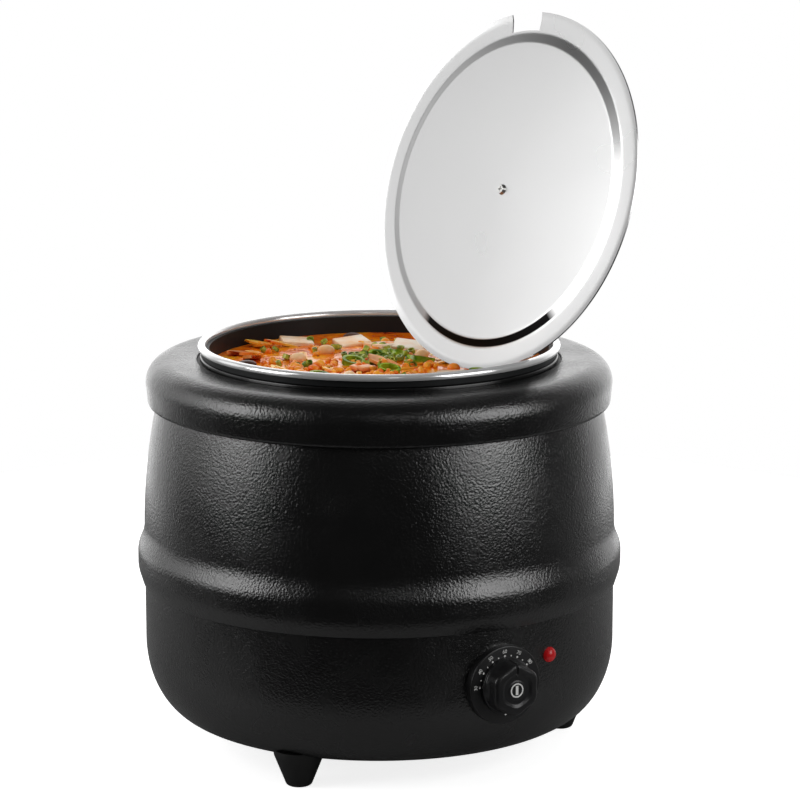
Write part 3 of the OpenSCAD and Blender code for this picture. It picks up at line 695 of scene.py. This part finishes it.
EMBLEM_T = 0.25
emblem_bm = flat_ring(4.0, 4.9, EMBLEM_T)
bar_size = Matrix.Diagonal((2.0 * MM, 6.2 * MM, EMBLEM_T * MM, 1))
bmesh.ops.create_cube(emblem_bm, size=1, matrix=Matrix.Translation((0, 0, EMBLEM_T / 2 * MM)) @ bar_size)
bmesh.ops.transform(emblem_bm, matrix=on_front(knob_back + knob_depth - 0.65), verts=emblem_bm.verts)
as_object("knob_emblem", emblem_bm, MATS["print_white"], "control")

PRINT_T, PRINT_SUNK = 0.08, 0.02


def dial_angle(temperature):
    return 177 - 2.82 * (temperature - 30)


def print_piece(name, bm):
    as_object(name, bm, MATS["print_white"], "kettle")


def on_dial(angle, radius):
    """A place on the dial's face, with the print sunk a hair into it."""
    spot = Vector((radius * math.cos(angle), radius * math.sin(angle), PRINT_T / 2))
    return on_front(dial_face - PRINT_SUNK) @ Matrix.Translation(spot * MM)


def add_dot(bm, angle, size):
    bmesh.ops.create_cone(
        bm, cap_ends=True, segments=20, radius1=size * MM, radius2=size * MM,
        depth=PRINT_T * MM, matrix=on_dial(angle, DOT_RING_R),
    )


DOT_RING_R, BIG_DOT, SMALL_DOT = 20.2, 0.72, 0.5
marks = bmesh.new()
for step in range(11):
    add_dot(marks, math.radians(dial_angle(30 + 5 * step)), SMALL_DOT if step % 2 else BIG_DOT)
add_dot(marks, math.radians(-90), BIG_DOT)
print_piece("dial_dots", marks)


def numeral(text, angle_deg, radius, size):
    curve = bpy.data.curves.new("numeral", "FONT")
    curve.body = text
    curve.align_x = "CENTER"
    curve.align_y = "CENTER"
    curve.size = size * MM
    curve.extrude = PRINT_T / 2 * MM
    holder = bpy.data.objects.new("numeral", curve)
    bpy.context.scene.collection.objects.link(holder)
    bpy.context.view_layer.update()
    mesh = bpy.data.meshes.new_from_object(holder.evaluated_get(bpy.context.evaluated_depsgraph_get()))
    bpy.data.objects.remove(holder)
    bpy.data.curves.remove(curve)
    bm = bmesh.new()
    bm.from_mesh(mesh)
    bpy.data.meshes.remove(mesh)
    bmesh.ops.remove_doubles(bm, verts=bm.verts, dist=1e-7)
    a = math.radians(angle_deg)
    place = on_dial(a, radius) @ Matrix.Rotation(a - math.pi / 2, 4, "Z")
    bmesh.ops.transform(bm, matrix=place, verts=bm.verts)
    return bm


for temperature in range(30, 90, 10):
    print_piece("dial_%d" % temperature, numeral(str(temperature), dial_angle(temperature), 23.2, 3.6))

# ---- Pilot lamp ----
LAMP_BEARING = 14
lamp_lo, lamp_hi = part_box("lamp_lens")
lamp_z = (lamp_lo.z + lamp_hi.z) / 2 / MM
LENS_R = 5.2
lens_bm = lathe([(0, 0)] + [(LENS_R, 0), (LENS_R, 1.4)] + arc(0, 1.4, LENS_R - 0.3, 3.2, 8, 90, 12),
                [], steps=64, closed=False)
bmesh.ops.transform(
    lens_bm, matrix=Matrix.Rotation(math.radians(LAMP_BEARING), 4, "Z") @ on_front(bowl_r - 0.6, lamp_z),
    verts=lens_bm.verts,
)
lens = as_object("pilot_lens", lens_bm, MATS["lamp_red"], "kettle", 60)
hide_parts("lamp_lens")

# ---- Soup ----
random.seed(11)
SOUP_Z = 268.3
SOUP_R = POT_R - SKIN - 0.1
soup_bm = bmesh.new()
bmesh.ops.create_circle(soup_bm, cap_ends=True, segments=160, radius=SOUP_R * MM)
bmesh.ops.translate(soup_bm, verts=soup_bm.verts, vec=(0, 0, SOUP_Z * MM))
broth = as_object("broth", soup_bm, broth_finish(), "pot")
SERVING_SIDE = Matrix.Rotation(math.radians(-30), 4, "Z")


def afloat(right, away, lift=0.0, turn=0.0, tilt=0.0, roll=0.0, size=(1, 1, 1)):
    """A place in the soup, in mm to the right of and away from the serving side, angles in degrees."""
    return (
        SERVING_SIDE
        @ Matrix.Translation(Vector((right, away, SOUP_Z + lift)) * MM)
        @ Matrix.Rotation(math.radians(turn), 4, "Z")
        @ Matrix.Rotation(math.radians(tilt), 4, "X")
        @ Matrix.Rotation(math.radians(roll), 4, "Y")
        @ Matrix.Diagonal((*size, 1))
    )


def join(bm, extra, matrix):
    """Adds a finished small shape to a group of its kind."""
    mesh = bpy.data.meshes.new("scratch")
    bmesh.ops.transform(extra, matrix=matrix, verts=extra.verts)
    extra.to_mesh(mesh)
    extra.free()
    bm.from_mesh(mesh)
    bpy.data.meshes.remove(mesh)


def slab(width, depth, height, soften):
    bm = bmesh.new()
    bmesh.ops.create_cube(bm, size=1, matrix=Matrix.Diagonal((width * MM, depth * MM, height * MM, 1)))
    bmesh.ops.bevel(
        bm, geom=bm.edges[:], offset=soften * MM, offset_type="OFFSET", segments=3,
        profile=0.5, affect="EDGES", material=-1,
    )
    return bm


def pebble(radius, detail=2):
    bm = bmesh.new()
    bmesh.ops.create_icosphere(bm, subdivisions=detail, radius=radius * MM)
    return bm


def hoop(radius, thickness, height, steps=20, angle=TURN):
    bm = lathe(
        [
            (radius - thickness, -height / 2), (radius, -height / 2),
            (radius, height / 2), (radius - thickness, height / 2),
        ],
        steps=steps, angle=angle,
    )
    ends = [e for e in bm.edges if e.is_boundary]
    if ends:
        bmesh.ops.holes_fill(bm, edges=ends, sides=0)
        bmesh.ops.recalc_face_normals(bm, faces=bm.faces)
    return bm


def in_the_pot(limit):
    r = limit * math.sqrt(random.random())
    a = random.uniform(0, TURN)
    return r * math.cos(a), r * math.sin(a)


def finish_food(name, bm, mat, smooth_deg=50):
    as_object(name, bm, mat, "pot", smooth_deg)


tofu = bmesh.new()
for right, away, turn, tilt, roll in (
    (-20, 72, 24, 10, -7), (21, 58, -12, 13, 9), (3, 60, 40, -6, 5),
    (62, 20, 30, 8, 6), (48, -48, 70, -8, 5), (-60, 74, 10, 5, 8),
):
    join(tofu, slab(23, 20, 6, 1.0), afloat(right, away, 0.2, turn, tilt * 0.6, roll * 0.6))
finish_food("tofu_slabs", tofu, food("tofu", (0.9, 0.5, 0.22), (0.92, 0.8, 0.64), 45))

beans = bmesh.new()
for right, away, turn in ((-38, 36, 10), (-57, 6, 25), (30, 20, 60), (70, -20, 15), (-20, -60, 80)):
    join(beans, pebble(5, 3), afloat(right, away, 2.2, turn, size=(1.25, 0.9, 0.8)))
finish_food("white_beans", beans, food("bean", (0.85, 0.4, 0.12), (0.92, 0.62, 0.34), 60))

onions = bmesh.new()
for right, away, turn, tilt in (
    (-72, 16, 150, 12), (-84, 22, 100, 8), (-6, -22, 20, 14), (60, 50, 60, 10), (20, -80, 10, 9),
):
    join(onions, hoop(24, 9, 2.2, 14, math.radians(80)), afloat(right, away, 0.6, turn, tilt, 6))
finish_food("onion_slices", onions, food("onion", (0.9, 0.26, 0.02), (0.95, 0.46, 0.16), 50))

cabbage = bmesh.new()
for right, away, turn, tilt in ((-82, 46, 40, 8), (-62, 48, 70, 12), (-50, 44, 10, -10), (-70, 66, 160, 9)):
    join(cabbage, hoop(22, 5, 1.4, 14, math.radians(100)), afloat(right, away, 1.5, turn, tilt, 10))
for _ in range(46):
    right, away = in_the_pot(98)
    radius = random.uniform(9, 22)
    strip = hoop(radius, random.uniform(1.6, 3.4), 1.1, 10, math.radians(random.uniform(50, 110)))
    lie = [random.uniform(0, 360), random.uniform(-9, 9), random.uniform(-9, 9)]
    join(cabbage, strip, afloat(right, away, 0.6, *lie))
finish_food("cabbage_strips", cabbage, food("cabbage", (0.95, 0.26, 0.004), (1.0, 0.62, 0.06), 40))

chilli = bmesh.new()
for right, away, radius, tilt in (
    (-18, -5, 8, 14), (29, 4, 10, -10), (7, -34, 8, 12), (-2, 18, 6, 20),
    (52, 4, 8, 9), (-40, -60, 8, 12), (70, -50, 9, 8), (14, 26, 6, -16),
):
    join(chilli, hoop(radius, 2.1, 4.2, 28), afloat(right, away, 2.0, 0, tilt, 8, (1, 0.85, 1)))
chilli_skin = food("green_chilli", (0.06, 0.15, 0.002), (0.34, 0.5, 0.02), 150, 0.2)
finish_food("green_chilli_rings", chilli, chilli_skin)

scallion = bmesh.new()
for number in range(90):
    if number < 52:
        right, away = random.gauss(2, 13), random.gauss(16, 13)
    else:
        right, away = in_the_pot(96)
    ring = hoop(random.uniform(2.0, 3.2), 0.7, random.uniform(2.0, 4.0), 12)
    lie = [random.uniform(0, 360), random.uniform(-60, 60)]
    join(scallion, ring, afloat(right, away, 2.0, *lie, size=(1, 0.8, 1)))
scallion_skin = food("scallion", (0.09, 0.18, 0.004), (0.5, 0.56, 0.06), 160, 0.3)
finish_food("scallion_rings", scallion, scallion_skin)

mince = bmesh.new()
for number in range(130):
    if number < 84:
        right, away = random.uniform(-78, 40), random.uniform(-58, 4)
    else:
        right, away = in_the_pot(106)
    size = [random.uniform(0.7, 1.5) for _ in range(3)]
    bit = pebble(random.uniform(1.6, 3.4))
    join(mince, bit, afloat(right, away, 0.8, random.uniform(0, 360), size=size))
finish_food("minced_bits", mince, food("mince", (0.85, 0.15, 0.002), (1.0, 0.42, 0.015), 120))

ham = bmesh.new()
for right, away, turn in ((-9, -28, 60), (-16, -26, 75), (12, 58, 20), (66, -6, 50)):
    join(ham, slab(16, 6, 3, 0.9), afloat(right, away, 2.0, turn, 14, 6))
finish_food("ham_strips", ham, food("ham", (0.85, 0.2, 0.03), (0.95, 0.42, 0.16), 80))

mushrooms = bmesh.new()
for right, away in ((-20, 96), (46, 84), (-92, -10), (80, 40)):
    join(mushrooms, pebble(5, 3), afloat(right, away, 1.0, 0, size=(1.4, 1.0, 0.6)))
finish_food("mushroom_caps", mushrooms, food("mushroom", (0.03, 0.01, 0.006), (0.1, 0.03, 0.012), 90))

flakes = bmesh.new()
for _ in range(190):
    right, away = in_the_pot(110)
    flake = slab(random.uniform(0.9, 2.0), random.uniform(0.6, 1.2), 0.4, 0.1)
    join(flakes, flake, afloat(right, away, 0.1, random.uniform(0, 360)))
finish_food("chilli_flakes", flakes, food("chilli_flake", (0.2, 0.008, 0.002), (0.45, 0.03, 0.004), 300))
